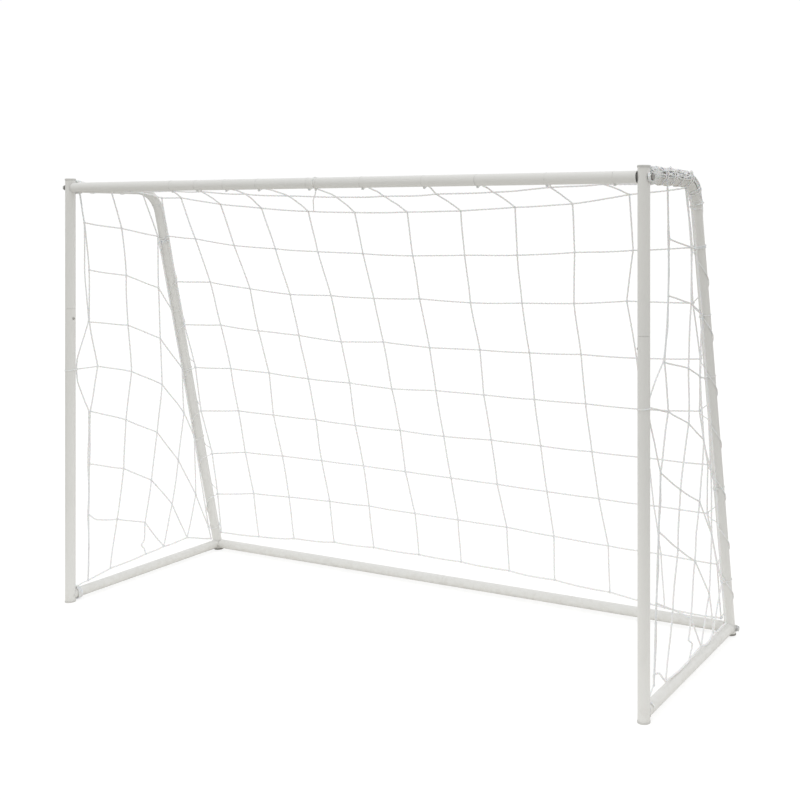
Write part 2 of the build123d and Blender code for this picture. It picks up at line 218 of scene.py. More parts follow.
def powder_coat(name):
    """white powder coat on steel: orange peel, faint tone drift, rubbed edges, a little grime near the floor"""
    m = Nodes(name)
    drift = m.noise(2.2, 2, 0.5, stretch=(0.5, 1, 1))
    base = m.mix((m.ramp(drift, 0, [(0.35, 0.0), (0.65, 1.0)]), 0), (0.795, 0.795, 0.775), (0.820, 0.816, 0.792))
    speck = m.noise(310, 2, 0.6)
    base = m.mix((m.ramp(speck, 0, [(0.30, 0.035), (0.45, 0.0)]), 0), base, (0.62, 0.62, 0.60))
    smudge = m.noise(14, 5, 0.62, stretch=(1, 1, 0.45), w=3.1)
    base = m.mix((m.ramp(smudge, 0, [(0.56, 0.0), (0.74, 0.10)]), 0), base, (0.60, 0.585, 0.55))
    wear = m.math("MULTIPLY", (edge_mask(m), 0), (m.ramp(m.noise(120, 3), 0, [(0.46, 0.0), (0.62, 0.55)]), 0))
    base = m.mix(wear, base, (0.42, 0.42, 0.42))
    dirt = m.math("MULTIPLY", (ground_mask(m), 0), (m.ramp(m.noise(60, 5, 0.65), 0, [(0.42, 0.0), (0.75, 0.34)]), 0))
    base = m.mix(dirt, base, (0.45, 0.41, 0.34))
    rough = m.ramp(m.noise(26, 4, 0.6), 0, [(0.30, 0.33), (0.70, 0.47)])
    peel = m.noise(650, 2.0, 0.45)
    wave = m.noise(95, 1.0, 0.4)
    b1 = m.bump((peel, 0), 0.28, 0.00012)
    b2 = m.bump((wave, 0), 0.22, 0.00030, b1)
    return m.done(base, (rough, 0), b2, Coat_Weight=0.12, Coat_Roughness=0.25, IOR=1.48)


def plastic(name, dark, light, rough_lo, rough_hi, grain=900, bump=0.25):
    """moulded plastic: fine spark-eroded grain, flow marks, paler scuffed edges"""
    m = Nodes(name)
    flow = m.noise(45, 3, 0.5, stretch=(1, 1, 0.3))
    base = m.mix((m.ramp(flow, 0, [(0.35, 0.0), (0.68, 1.0)]), 0), dark, light)
    worn = m.math("MULTIPLY", (edge_mask(m, 0.0009), 0), (m.ramp(m.noise(210, 3), 0, [(0.40, 0.10), (0.65, 0.75)]), 0))
    paler = tuple(min(1.0, c * 1.7 + 0.03) for c in light)
    base = m.mix(worn, base, paler)
    dust = m.noise(30, 5, 0.65, w=1.7)
    base = m.mix((m.ramp(dust, 0, [(0.52, 0.0), (0.80, 0.22)]), 0), base, (0.50, 0.48, 0.44))
    rough = m.ramp(m.noise(70, 4), 0, [(0.3, rough_lo), (0.7, rough_hi)])
    b1 = m.bump((m.noise(grain, 3, 0.6), 0), bump, 0.00012)
    return m.done(base, (rough, 0), b1, IOR=1.47)


def metal(name, dark, light, rough_lo, rough_hi, brushed=(1, 1, 1), tint=None):
    """plated or oiled steel: fine machining lines, cloudy plating, brighter rubbed edges"""
    m = Nodes(name)
    cloud = m.noise(130, 4, 0.6)
    base = m.mix((m.ramp(cloud, 0, [(0.35, 0.0), (0.66, 1.0)]), 0), dark, light)
    if tint:
        base = m.mix((m.ramp(m.noise(60, 3, w=2.0), 0, [(0.5, 0.0), (0.75, 0.35)]), 0), base, tint)
    worn = m.math("MULTIPLY", (edge_mask(m, 0.0006), 0), (m.ramp(m.noise(330, 2), 0, [(0.38, 0.2), (0.6, 0.9)]), 0))
    base = m.mix(worn, base, (0.72, 0.71, 0.69))
    rough = m.ramp(m.noise(240, 4), 0, [(0.3, rough_lo), (0.7, rough_hi)])
    lines = m.noise(500, 3, 0.6, stretch=brushed)
    b1 = m.bump((lines, 0), 0.25, 0.00008)
    return m.done(base, (rough, 0), b1, Metallic=1.0)


def cord_material(name, shade, warm):
    """laid polyethylene cord: fibre streaks follow the lay, stored in the mesh as (turn, length)"""
    m = Nodes(name)
    at = m.add("ShaderNodeAttribute", attribute_name="lay")
    fibre = m.noise(1.0, 3, 0.6, coord=(at, "Vector"), stretch=(9.0, 260.0, 1.0))
    long_ = m.noise(1.0, 2, 0.5, coord=(at, "Vector"), stretch=(0.7, 9.0, 1.0), w=4.0)
    base = m.mix((m.ramp(fibre, 0, [(0.32, 0.0), (0.66, 1.0)]), 0),
                 tuple(c * 0.90 for c in shade), tuple(min(1, c * 1.05) for c in shade))
    base = m.mix((m.ramp(long_, 0, [(0.35, 0.0), (0.75, 0.45)]), 0), base, warm)
    grime = m.noise(22, 4, 0.6, w=9.0)
    base = m.mix((m.ramp(grime, 0, [(0.58, 0.0), (0.80, 0.20)]), 0), base, (0.56, 0.53, 0.47))
    rough = m.ramp(fibre, 0, [(0.3, 0.62), (0.7, 0.45)])
    b1 = m.bump((fibre, 0), 0.5, 0.00015)
    return m.done(base, (rough, 0), b1, Subsurface_Weight=0.08, Sheen_Weight=0.25, Sheen_Roughness=0.5, IOR=1.5)


def weld_material(name):
    m = Nodes(name)
    base = m.mix((m.ramp(m.noise(170, 4), 0, [(0.4, 0.0), (0.7, 1.0)]), 0), (0.74, 0.74, 0.73), (0.80, 0.80, 0.785))
    spots = m.noise(420, 3, 0.6)
    base = m.mix((m.ramp(spots, 0, [(0.30, 0.35), (0.42, 0.0)]), 0), base, (0.46, 0.45, 0.43))
    rough = m.ramp(m.noise(200, 4), 0, [(0.3, 0.36), (0.7, 0.52)])
    b1 = m.bump((m.noise(520, 3, 0.6), 0), 0.45, 0.00025)
    return m.done(base, (rough, 0), b1)


SLOTS = {
    "white_tube": powder_coat("white_powder_coat"),
    "grey_cap": plastic("grey_plastic", (0.62, 0.62, 0.60), (0.69, 0.685, 0.66), 0.42, 0.58),
    "dark_foot": plastic("dark_foot_plastic", (0.27, 0.26, 0.24), (0.34, 0.33, 0.305), 0.45, 0.62),
    "black_plastic": plastic("black_plastic", (0.15, 0.148, 0.142), (0.20, 0.197, 0.188), 0.38, 0.55),
    "zinc": metal("zinc_plate", (0.55, 0.56, 0.57), (0.70, 0.71, 0.71), 0.28, 0.46, tint=(0.62, 0.60, 0.50)),
    "dark_steel": metal("blackened_steel", (0.34, 0.335, 0.325), (0.45, 0.445, 0.43), 0.36, 0.55),
    "spring_steel": metal("spring_steel", (0.42, 0.41, 0.395), (0.56, 0.55, 0.53), 0.24, 0.38, brushed=(1, 1, 0.08)),
}
SLOTS["net_cord"] = cord_material("net_cord", (0.915, 0.915, 0.92), (0.90, 0.895, 0.89))
SLOTS["tie_cord"] = cord_material("tie_cord", (0.93, 0.93, 0.93), (0.92, 0.915, 0.905))
WELD = weld_material("painted_weld")

for node in NODES.values():
    for i, s in enumerate(node.material_slots):
        name = (s.material.name if s.material else "").split(".")[0]
        if name in SLOTS:
            node.material_slots[i].material = SLOTS[name]

# the rear bar's bolts and saddles are paler than the crossbar's
for side in ("left", "right"):
    for i in range(len(NODES[f"ground_bolt_{side}"].material_slots)):
        NODES[f"ground_bolt_{side}"].material_slots[i].material = SLOTS["zinc"]
    for i in range(len(NODES[f"ground_saddle_{side}"].material_slots)):
        NODES[f"ground_saddle_{side}"].material_slots[i].material = SLOTS["grey_cap"]

# ---------------------------------------------------------------------------
# cord building
# ---------------------------------------------------------------------------
rng = random.Random(7)


def length_of(p):
    return float(np.linalg.norm(np.diff(p, axis=0), axis=1).sum())


def resample(p, step):
    p = np.asarray(p, float)
    keep = np.r_[True, np.linalg.norm(np.diff(p, axis=0), axis=1) > 1e-7]
    p = p[keep]
    s = np.r_[0, np.cumsum(np.linalg.norm(np.diff(p, axis=0), axis=1))]
    n = max(2, int(round(s[-1] / step)) + 1)
    t = np.linspace(0, s[-1], n)
    return np.stack([np.interp(t, s, p[:, i]) for i in range(3)], 1)


def smooth(p, times):
    for _ in range(times):
        q = p.copy()
        q[1:-1] = (p[:-2] + 2 * p[1:-1] + p[2:]) / 4
        p = q
    return p


class Mesh:
    """collects swept cords and knots, then makes one object of them"""

    def __init__(self):
        self.v, self.f, self.lay, self.n = [], [], [], 0

    def sweep(self, path, radius, strands=3, pitch=0.013, step=0.0025, sides=9, depth=0.26, closed=False, taper=0.0):
        p = resample(path, step)
        if closed:
            p = p[:-1]
        n = len(p)
        if n < 3:
            p = resample(path, length_of(np.asarray(path, float)) / 3)
            n = len(p)
        if closed:
            tan = np.roll(p, -1, 0) - np.roll(p, 1, 0)
        else:
            tan = np.gradient(p, axis=0)
        tan /= np.maximum(np.linalg.norm(tan, axis=1)[:, None], 1e-12)
        up = np.cross(tan[0], [0.31, 0.87, 0.38])
        up /= np.linalg.norm(up)
        frames = []
        for i in range(n):
            up = up - tan[i] * float(up @ tan[i])
            up /= np.linalg.norm(up)
            frames.append((up, np.cross(tan[i], up)))
        if closed:                      # spread the leftover twist over the loop
            u0, v0 = frames[0]
            u1 = frames[-1][0] - tan[0] * float(frames[-1][0] @ tan[0])
            gap = math.atan2(float(u1 @ v0), float(u1 @ u0))
        else:
            gap = 0.0
        s = np.r_[0, np.cumsum(np.linalg.norm(np.diff(p, axis=0), axis=1))]
        total = s[-1] + (np.linalg.norm(p[0] - p[-1]) if closed else 0)
        turns = 2 * math.pi * s / pitch
        if closed and strands:
            whole = max(1, round(total / pitch))
            turns = 2 * math.pi * whole * s / total
        th = np.linspace(0, 2 * math.pi, sides, endpoint=False)
        U = np.array([f[0] for f in frames])[:, None, :]
        V = np.array([f[1] for f in frames])[:, None, :]
        a = th[None, :] - (gap * s / max(total, 1e-9))[:, None]
        if strands:
            lobes = 0.5 + 0.5 * np.cos(strands * (th[None, :] - turns[:, None] / strands))
            r = radius * (1 - depth * (1 - lobes) ** 1.3)
        else:
            r = np.full((n, sides), radius)
        if taper:
            k = np.clip(np.minimum(s, total - s) / taper, 0.25, 1)
            r = r * k[:, None]
        pts = p[:, None, :] + r[..., None] * (np.cos(a)[..., None] * U + np.sin(a)[..., None] * V)
        base = self.n
        self.v.append(pts.reshape(-1, 3))
        lay = np.zeros((n, sides, 3))
        lay[..., 0] = (th[None, :] - turns[:, None] / 3) / (2 * math.pi)
        lay[..., 1] = s[:, None]
        lay[..., 2] = rng.random() * 20
        self.lay.append(lay.reshape(-1, 3))
        i = np.arange(n if closed else n - 1)[:, None]
        j = np.arange(sides)[None, :]
        i2, j2 = (i + 1) % n, (j + 1) % sides
        q = np.stack([i * sides + j, i * sides + j2, i2 * sides + j2, i2 * sides + j], -1).reshape(-1, 4) + base
        self.f.extend(q.tolist())
        if not closed:
            self.f.append([base + k for k in range(sides)][::-1])
            self.f.append([base + (n - 1) * sides + k for k in range(sides)])
        self.n += n * sides

    def band(self, centre, axis, inner, width, thick, n=96):
        """a thin flat band with rounded edges, closed round an axis"""
        axis = np.asarray(axis, float)
        u = np.cross(axis, [0.2, 0.4, 0.9])
        u /= np.linalg.norm(u)
        w = np.cross(axis, u)
        h = width / 2
        prof = [(-h, 0.0), (-h * 0.97, thick * 0.55), (-h * 0.80, thick), (h * 0.80, thick), (h * 0.97, thick * 0.55), (h, 0.0)]
        a = np.linspace(0, 2 * math.pi, n, endpoint=False)
        rows = []
        for dx, dr in prof:
            rows.append(np.asarray(centre) + dx * axis + (inner + dr) * (np.cos(a)[:, None] * u + np.sin(a)[:, None] * w))
        pts = np.stack(rows, 1)
        m = len(prof)
        base = self.n
        self.v.append(pts.reshape(-1, 3))
        lay = np.zeros((n, m, 3))
        lay[..., 0] = np.linspace(0, 1, m)[None, :]
        lay[..., 1] = (a * inner)[:, None]
        self.lay.append(lay.reshape(-1, 3))
        i = np.arange(n)[:, None]
        j = np.arange(m)[None, :]
        i2, j2 = (i + 1) % n, (j + 1) % m
        q = np.stack([i * m + j, i2 * m + j, i2 * m + j2, i * m + j2], -1).reshape(-1, 4) + base
        self.f.extend(q.tolist())
        self.n += n * m

    def knot(self, c, normal, size=1.0, along=None):
        """a small tight knot: three crossings of the same cord"""
        n = np.asarray(normal, float)
        n = n / np.linalg.norm(n)
        u = np.asarray(along if along is not None else [0.2, 0.1, 1.0], float)
        u = u - n * float(u @ n)
        u /= np.linalg.norm(u)
        w = np.cross(n, u)
        spin = rng.random() * 2 * math.pi
        u, w = u * math.cos(spin) + w * math.sin(spin), w * math.cos(spin) - u * math.sin(spin)
        t = np.linspace(0, 2 * math.pi, 37)
        k = 0.00086 * size * (0.92 + 0.16 * rng.random())
        pts = (np.asarray(c)[None, :] + (np.sin(t) + 2 * np.sin(2 * t))[:, None] * k * u
               + (np.cos(t) - 2 * np.cos(2 * t))[:, None] * k * w - np.sin(3 * t)[:, None] * 0.00150 * size * n)
        self.sweep(pts, 0.00135 * size, strands=0, sides=7, step=0.0012 * size, closed=True)

    def build(self, name, mat, slot, nodes=(), smooth_shade=True):
        mesh = bpy.data.meshes.new(name)
        v = np.concatenate(self.v)
        mesh.from_pydata(v.tolist(), [], self.f)
        mesh.update()
        at = mesh.attributes.new("lay", "FLOAT_VECTOR", "POINT")
        at.data.foreach_set("vector", np.concatenate(self.lay).astype(np.float32).ravel())
        mesh.polygons.foreach_set("use_smooth", np.ones(len(mesh.polygons), bool))
        mesh.materials.append(mat)
        o = bpy.data.objects.new(name, mesh)
        bpy.context.scene.collection.objects.link(o)
        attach(o, ROOT)
        if nodes:
            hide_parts(*nodes)
        return o


def strand(points, sag=0.0, wander=0.0, side=None, step=0.004):
    """a cord through its knots: each span hangs a little and wanders a little, and passes its knots with a soft kink"""
    pts = [np.asarray(p, float) for p in points]
    out = []
    for a, b in zip(pts[:-1], pts[1:]):
        d = b - a
        L = float(np.linalg.norm(d))
        n = max(3, int(L / step))
        t = np.linspace(0, 1, n, endpoint=False)
        flat = math.hypot(d[0], d[1]) / max(L, 1e-9)
        seg = a[None, :] + t[:, None] * d[None, :]
        seg[:, 2] -= 4 * sag * (L / 0.13) * flat * t * (1 - t)
        if wander:
            s1 = np.asarray(side if side is not None else np.cross(d, [0, 0, 1.0]) + 1e-9, float)
            s1 = s1 / np.linalg.norm(s1)
            s2 = np.cross(d / max(L, 1e-9), s1)
            for s_ in (s1, s2):
                a1, a2 = (rng.uniform(-1, 1) * wander for _ in range(2))
                seg += ((a1 * np.sin(math.pi * t) + 0.5 * a2 * np.sin(2 * math.pi * t))[:, None]) * s_[None, :]
        out.append(seg)
    out.append(pts[-1][None, :])
    return smooth(np.concatenate(out), 2)


def ring(centre, axis, radius, turns=1.0, start=0.0, pitch=0.0029, up=None, n=40):
    """points wound round an axis"""
    axis = np.asarray(axis, float) / np.linalg.norm(axis)
    u = np.asarray(up if up is not None else [0, 0, 1], float)
    u = u - axis * float(u @ axis)
    u /= np.linalg.norm(u)
    w = np.cross(axis, u)
    t = np.linspace(0, turns, max(8, int(n * abs(turns))))
    a = start + t * 2 * math.pi
    return (np.asarray(centre)[None, :] + radius * (np.cos(a)[:, None] * u + np.sin(a)[:, None] * w)
            + ((t - turns / 2) * pitch)[:, None] * axis)


# ---------------------------------------------------------------------------
# net: knots in millimetres, measured from the goal line
# ---------------------------------------------------------------------------
BACK = [
    [(-875, 1170), (-875, 1050), (-875, 905), (-873, 766), (-858, 626), (-867, 480), (-850, 337), (-858, 197), (-872, 62)],
    [(-794, 1170), (-763, 1043), (-732, 907), (-719, 771), (-708, 631), (-705, 493), (-706, 355), (-700, 216), (-709, 67)],
    [(-638, 1149), (-610, 1023), (-575, 890), (-568, 759), (-553, 626), (-563, 490), (-553, 357), (-553, 221), (-561, 80)],
    [(-479, 1136), (-450, 1015), (-421, 877), (-412, 752), (-401, 617), (-396, 488), (-398, 357), (-391, 225), (-399, 89)],
    [(-305, 1126), (-292, 1008), (-267, 878), (-255, 739), (-246, 614), (-248, 482), (-240, 355), (-241, 227), (-246, 92)],
    [(-139, 1122), (-130, 1004), (-114, 874), (-102, 746), (-95, 606), (-86, 480), (-87, 353), (-73, 223), (-80, 91)],
    [(42, 1123), (41, 1000), (45, 878), (57, 737), (59, 611), (66, 475), (72, 349), (78, 221), (69, 89)],
    [(217, 1125), (212, 1004), (212, 872), (224, 739), (218, 609), (225, 478), (227, 347), (242, 219), (232, 84)],
    [(387, 1134), (377, 1006), (375, 876), (381, 739), (380, 608), (383, 475), (387, 343), (393, 211), (380, 78)],
    [(558, 1142), (550, 1016), (532, 880), (538, 743), (536, 607), (540, 473), (546, 340), (561, 205), (551, 67)],
    [(720, 1164), (716, 1023), (685, 891), (698, 741), (700, 604), (705, 471), (708, 338), (716, 201), (712, 46)],
    [(875, 1179), (874, 1032), (866, 892), (874, 749), (860, 611), (871, 469), (858, 335), (874, 196), (873, 43)],
]
LEFT = {
    "a0": (24, 1175), "a1": (49, 1093), "a2": (66, 954), "a3": (66, 801), "a4": (97, 668), "a5": (69, 539),
    "a6": (67, 384), "a7": (64, 236), "a8": (62, 44),
    "b0": (150, 1175), "b1": (185, 1075), "b2": (203, 932), "b3": (209, 780), "b4": (223, 637), "b5": (201, 493),
    "b6": (193, 346), "b7": (168, 198), "b8": (142, 57),
    "c0": (255, 1172), "c1": (327, 1050), "c2": (329, 888), "c3": (337, 728), "c4": (345, 582), "c5": (324, 435),
    "c6": (301, 289), "c7": (276, 163), "c8": (278, 65),
    "g0": (292, 1153), "g1": (314, 1104),
    "d2": (383, 817), "d3": (428, 624), "d4": (436, 478), "d5": (412, 331), "d6": (386, 195), "d8": (351, 69),
    "e4": (481, 392), "e5": (488, 204), "e8": (449, 73), "f5": (545, 84), "f8": (556, 43),
}
RIGHT = {
    "a0": (128, 1175), "a1": (150, 1056), "a2": (146, 925), "a3": (123, 774), "a4": (146, 658), "a5": (99, 526),
    "a6": (87, 395), "a7": (72, 238), "a8": (57, 60),
    "b0": (255, 1172), "b1": (300, 1033), "b2": (295, 898), "b3": (276, 743), "b4": (276, 610), "b5": (224, 462),
    "b6": (208, 326), "b7": (173, 193), "b8": (134, 50),
    "g0": (292, 1153), "c1": (332, 1030), "c2": (373, 862), "c3": (358, 712), "c4": (385, 552), "c5": (354, 405),
    "c6": (321, 268), "c7": (294, 136), "c8": (270, 58),
    "d3": (407, 705), "d4": (436, 470), "d5": (444, 302), "d6": (424, 157), "d8": (352, 70),
    "e4": (476, 410), "e5": (523, 155), "e8": (462, 76), "f8": (556, 43),
}
# spans drawn through extra points where the cord hangs slack
LEFT_CORDS = ["a0 a1 a2 a3 a4 a5 a6 a7 a8", "b0 b1 b2 b3 b4 b5 b6 b7 b8", "c1 c2 c3 c4 c5 c6 c7 c8",
              "d3 d4 d5 d6 d8", "e4 e5 e8", "a1 b1 c1", "a2 b2 c2 d2", "a3 b3 c3 d3", "a4 b4 c4 d4 e4",
              "a5 b5 c5 d5 e5 f5", "a6 b6 c6 d6 e8", "a7 b7 c7 d8"]
LEFT_EDGE = "a0 b0 c0 c1 d2 d3 e4 f5 f8"
LEFT_FOOT = "a8 b8 c8 d8 e8 f8"
RIGHT_CORDS = ["a0 a1 a2 a3 a4 a5 a6 a7 a8", "b0 b1 b2 b3 b4 b5 b6 b7 b8", "c2 c3 c4 c5 c6 c7 c8",
               "d3 d4 d5 d6 d8", "e5 e8", "a1 b1 c1", "a2 b2 c2", "a3 b3 c3 d3", "a4 b4 c4 d4 e4",
               "a5 b5 c5 d5 e5", "a6 b6 c6 d6 e8", "a7 b7 c7 d8"]
RIGHT_EDGE = "b0 g0 c1 c2 d3 e4 e5 f8"
RIGHT_FOOT = "a8 b8 c8 d8 e8 f8"
# where the panels leave the arm: (y, z, offset from the arm's axis towards the outside)
START = {"left": {"a0": (17, 1187, -16.6), "b0": (131, 1187, -16.6), "c0": (249, 1187, -16.6)},
         "right": {"a0": (98, 1187, 16.6), "b0": (258, 1175, 0)}}
HEM_DROP = {"b8": (128, 44), "c8": (286, 41), "d8": (366, 44), "e8": (455, 48), "f8": (552, 43)}
SLACK = {
    ("left", "c7", "c8"): [(270, 106), (259, 97), (276, 77)],
    ("left", "a7", "b7"): [(93, 214)],
    ("left", "c7", "d8"): [(324, 98)],
    ("right", "c5", "c6"): [(337, 330)],
    ("right", "c7", "c8"): [(268, 92), (300, 72), (308, 60)],
    ("right", "a8", "b8"): [(58, 84), (84, 78), (104, 58)],
    ("right", "b8", "c8"): [(190, 37), (240, 37)],
    ("right", "d8", "e8"): [(404, 38)],
    ("right", "e8", "f8"): [(500, 38)],
}
FRONT_X = [-862, -500, -410, -308, -195, -30, 138, 320, 470, 655, 825, 862]
MIDDLE = [(-877, 1189), (-705, 1187), (-590, 1184), (-422, 1175), (-267, 1168), (-98, 1163), (60, 1164),
          (225, 1168), (397, 1171), (561, 1181), (704, 1187), (877, 1189)]
MIDDLE_Y = 200.0

CORD_MAT, TIE_MAT = SLOTS["net_cord"], SLOTS["tie_cord"]
BACK_N = LEG_BACK


def back_point(x, z, off=0.0):
    return np.array([x * MM, leg_y(z * MM), z * MM]) + BACK_N * off


# back panel ---------------------------------------------------------------
grid = [[back_point(x, z, rng.uniform(-0.6, 0.6) * MM) for x, z in col] for col in BACK]
upright, level, knots = Mesh(), Mesh(), Mesh()
for j, col in enumerate(grid):
    upright.sweep(strand(col, 0.0, 0.0009, side=(1, 0, 0)), CORD)
for i in range(len(grid[0]) - 1):
    level.sweep(strand([c[i] for c in grid], 0.0006, 0.0007, side=BACK_N), CORD)
for j, col in enumerate(grid):
    for i, c in enumerate(col):
        knots.knot(c, BACK_N, 1.0 if i < len(col) - 1 else 1.15)
back_up = upright.build("net_back_uprights", CORD_MAT, "net_cord", ["net_back"])
back_level = level.build("net_back_rows", CORD_MAT, "net_cord")
back_knots = knots.build("net_back_knots", CORD_MAT, "net_cord")
rope = Mesh()
rope.sweep(strand([c[-1] for c in grid], 0.0018, 0.0010, side=BACK_N), 0.0027, pitch=0.018, step=0.0024, depth=0.24)
rope.build("net_border_rope", TIE_MAT, "net_cord")

# side panels ----------------------------------------------------------------


def side_panel(side, nodes, cords, edge, foot):
    sgn = -1 if side == "left" else 1
    x = sgn * POST_X / MM
    out = {}
    for k, (y, z) in nodes.items():
        if side == "right":
            y, z = HEM_DROP.get(k, (y, z))
        out[k] = G(x, y, z) + np.array([rng.uniform(-0.6, 0.6) * MM, 0, 0])
    if side == "left":
        out.pop("g0"), out.pop("g1")
    for k, (y, z, off) in START[side].items():
        out[k] = G(x + sgn * off, y, z)
    cord, tie, knot = Mesh(), Mesh(), Mesh()

    def through(names):
        pts = [out[names[0]]]
        for a, b in zip(names[:-1], names[1:]):
            for y, z in SLACK.get((side, a, b), []):
                pts.append(G(x, y, z) + np.array([rng.uniform(-4, 4) * MM, 0, 0]))
            pts.append(out[b])
        return pts

    for line in cords:
        p = through(line.split())
        cord.sweep(strand(p, 0.0006, 0.0012, side=(1, 0, 0)), CORD)
    cord.sweep(strand(through(edge.split()), 0.0008, 0.0008, side=(1, 0, 0)), CORD)
    # the front column is doubled; halfway up, its second strand is drawn forward to the tie on the post
    zt = 668 if side == "left" else 686
    second = {"left": [("a0", 0, 0), (49, 1085), (49, 954), (59, 850), (64, 806), (46, zt + 88), (23, zt + 30), (20.5, zt), (24, zt - 36),
                       (50, zt - 98), (64, 542), (65.5, 470), (62, 384), (66, 300), (60, 236), (64, 140), ("a8", 0, 0)],
              "right": [("a0", 0, 0), (143, 1120), (146, 1056), (152, 980), (142, 925), (140, 850), (119, 778), (62, zt + 48), (21, zt + 6),
                        (21, zt - 8), (58, 606), (95, 530), (97, 460), (83, 395), (84, 310), (68, 238), (70, 150), ("a8", 0, 0)]}[side]
    pts = [out[q[0]] if isinstance(q[0], str) else G(x + rng.uniform(-1.2, 1.2), q[0], q[1]) for q in second]
    cord.sweep(smooth(strand(pts, 0.0, 0.0006, side=(1, 0, 0)), 3), CORD * 0.92)
    tie.sweep(strand(through(foot.split()), 0.0016, 0.0012, side=(1, 0, 0)), 0.0027, pitch=0.017, depth=0.24)
    for k, c in out.items():
        knot.knot(c, (1, 0, 0), 1.0)
    cord.build(f"net_{side}_cords", CORD_MAT, "net_cord", [f"net_{side}"])
    tie.build(f"net_{side}_hem", TIE_MAT, "net_cord")
    knot.build(f"net_{side}_knots", CORD_MAT, "net_cord")
    return out


left_pts = side_panel("left", LEFT, LEFT_CORDS, LEFT_EDGE, LEFT_FOOT)
right_pts = side_panel("right", RIGHT, RIGHT_CORDS, RIGHT_EDGE, RIGHT_FOOT)

# top panel ------------------------------------------------------------------
front = [G(x, 18, 1184) for x in FRONT_X]
middle = [G(x, MIDDLE_Y, z) for x, z in MIDDLE]
last = [c[0] for c in grid]
top, topk = Mesh(), Mesh()
top.sweep(strand(front, 0.0, 0.0006, side=(0, 1, 0)), CORD)
top.sweep(strand(middle, 0.0010, 0.0012, side=(0, 1, 0)), CORD)
for a, b, c in zip(front, middle, last):
    hump = (a + b) / 2 + np.array([0, 0, 0.0015])
    top.sweep(strand([a, hump, b, (b + c) / 2 + np.array([0, 0, 0.002]), c], 0.0, 0.0010, side=(1, 0, 0)), CORD)
for c in front[1:-1] + middle:
    topk.knot(c, (0, 0, 1), 1.0)
top.build("net_top_cords", CORD_MAT, "net_cord", ["net_top"])
topk.build("net_top_knots", CORD_MAT, "net_cord")

# ties round the crossbar ------------------------------------------------------
thread, bands = Mesh(), Mesh()
WRAP = TUBE + 0.00015
for x in FRONT_X[1:-1]:
    c = np.array([x * MM, GOAL_Y, BAR_Z])
    bands.band(c, (1, 0, 0), TUBE + 0.00005, 0.0020, 0.00030)
    under = c + np.array([0.0, 0.003, -(TUBE + 0.0026)])
    thread.knot(under, (0, 0, 1), 1.0)
    thread.sweep(strand([under, c + np.array([0.001, 0.012, -(TUBE + 0.0006)]), G(x, 18, 1184)]), 0.0010, strands=2,
                 pitch=0.004, step=0.0014, sides=7)
mid = np.array([-0.008, GOAL_Y, BAR_Z])
thread.sweep(ring(mid, (1, 0, 0), WRAP + TIE * 0.8, turns=1.0, start=math.radians(185), pitch=0.0026), TIE * 0.8, step=0.0018)
under = mid + np.array([0, 0.002, -(TUBE + 0.0028)])
thread.knot(under, (0, 1, 0), 1.0)
thread.sweep(strand([under, G(-150, 165, 1154), G(-285, 333 - 0.5, 1127)], 0.001, 0.001), 0.0016)
thread.build("crossbar_ties", TIE_MAT, "tie_cord", ["ties_crossbar"])
bands.build("crossbar_tie_bands", SLOTS["white_tube"], "white_tube")

# ties round the rear tubes ------------------------------------------------------


ARC = BEND_R * TURN
ARM_LEN = ARM_END_Y - GOAL_Y


def rear_path(t):
    """centre, tangent and outward normal of the rear tube, a distance t along it from the post axis"""
    if t < ARM_LEN:
        return np.array([0, GOAL_Y + t, BAR_Z]), np.array([0, 1.0, 0]), np.array([0, 0, 1.0])
    if t < ARM_LEN + ARC:
        a = (t - ARM_LEN) / BEND_R
        n = np.array([0, math.sin(a), math.cos(a)])
        return (np.array([0, ARM_END_Y, BAR_Z - BEND_R]) + BEND_R * n, np.array([0, math.cos(a), -math.sin(a)]), n)
    end = np.array([0, ARM_END_Y + BEND_R * math.sin(TURN), BAR_Z - BEND_R + BEND_R * math.cos(TURN)])
    return end - LEG_UP * (t - ARM_LEN - ARC), -LEG_UP, LEG_BACK


END_Z = BAR_Z - BEND_R + BEND_R * math.cos(TURN)


def along_leg(z):
    return ARM_LEN + ARC + (END_Z - z) * SLOPE


def wind(sgn, keys, lift=None, n=26):
    """a cord wound round the rear tube. keys: (distance along, turns made, radius beyond the tube).
    Turn 0 is on the side towards the goal's middle; it then passes the inside of the bend, the outer side and the back."""
    keys = np.asarray(keys, float)
    turns = np.linspace(keys[0, 1], keys[-1, 1], max(12, int(n * abs(keys[-1, 1] - keys[0, 1]))))
    out = []
    for q in turns:
        t = np.interp(q, keys[:, 1], keys[:, 0])
        r = TUBE + np.interp(q, keys[:, 1], keys[:, 2])
        if lift is not None:
            r += lift(q)
        c, tan, nrm = rear_path(t)
        a = 2 * math.pi * q
        e = math.cos(a) * np.array([-sgn, 0, 0]) - math.sin(a) * nrm
        out.append(np.array([sgn * POST_X, 0, 0]) + c + e * r)
    return np.array(out)


